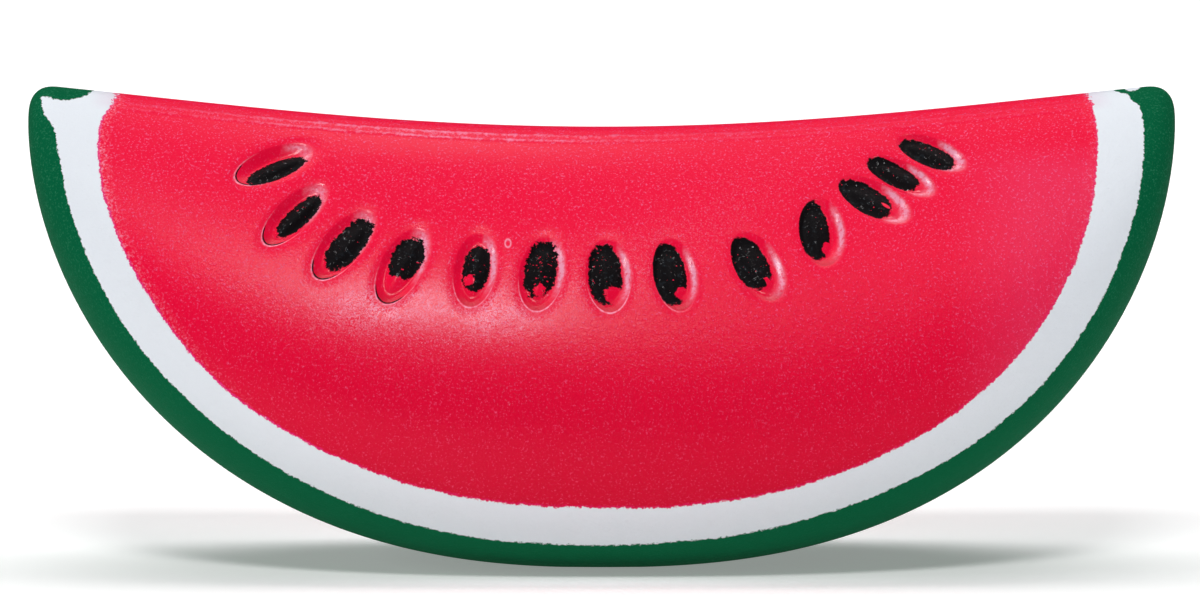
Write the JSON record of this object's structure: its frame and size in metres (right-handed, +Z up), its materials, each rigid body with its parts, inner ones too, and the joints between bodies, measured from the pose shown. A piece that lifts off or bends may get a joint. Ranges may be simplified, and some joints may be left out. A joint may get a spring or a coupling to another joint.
{
  "type": "toy watermelon slice",
  "caption": "Soft foam toy slice of watermelon: a one-piece wedge with a sagging ridge, rounded rind and sunken seeds on both faces, standing on a small flat foot.",
  "frame": {"origin": "centre of the bounding box at the bottom, on the flat foot", "axes": "+X along the slice towards its right-hand tip, +Y through its thickness from the shown face to the back one, +Z up from the foot to the ridge"},
  "size_m": [0.12, 0.0404, 0.0501],
  "materials": {
    "painted_foam": "satin painted soft foam: red flesh, white pith band, green rind and black seeds"
  },
  "bodies": {
    "root": {"slice": "painted_foam"}
  },
  "joints": []
}
